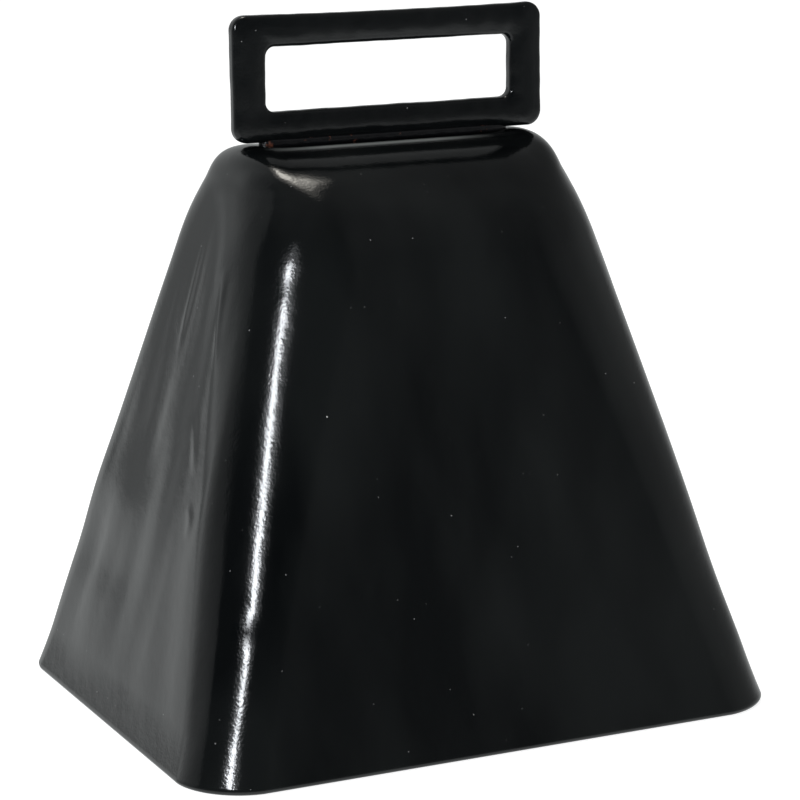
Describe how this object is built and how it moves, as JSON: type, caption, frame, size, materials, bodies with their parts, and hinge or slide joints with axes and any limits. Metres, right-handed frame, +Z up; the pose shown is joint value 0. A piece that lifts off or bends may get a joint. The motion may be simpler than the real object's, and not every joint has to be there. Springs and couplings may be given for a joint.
{
  "type": "cowbell",
  "caption": "Tapered sheet-steel cowbell with a brazed strap loop on its crown and a ball clapper hung inside on a wire link.",
  "frame": {"origin": "centre of the mouth, in the plane of the rim", "axes": "+Z up through the crown and the strap loop, X along the broad side, -Y out of the broad front face"},
  "size_m": [0.104, 0.0868, 0.1138],
  "materials": {
    "shell_coat": "gloss",
    "loop_coat": "gloss",
    "braze": "satin",
    "wire_coat": "satin",
    "ball_steel": "satin"
  },
  "bodies": {
    "root": {"bell_shell": "shell_coat", "strap_loop": "loop_coat", "braze_seam": "braze", "clapper_staple": "wire_coat", "leg_fillet_left": "braze", "leg_fillet_right": "braze"},
    "link": {"clapper_link": "wire_coat"},
    "clapper": {"clapper_rod": "wire_coat", "clapper_ball": "ball_steel"}
  },
  "joints": [
    {"name": "link_swing", "type": "hinge", "parent": "root", "child": "link", "pos_m": [0, 0, 0.0774], "axis": [1, 0, 0], "range_deg": [-24, 24]},
    {"name": "clapper_swing", "type": "hinge", "parent": "link", "child": "clapper", "pos_m": [0, 0, 0.0665], "axis": [0, 1, 0], "range_deg": [-41, 41]}
  ]
}
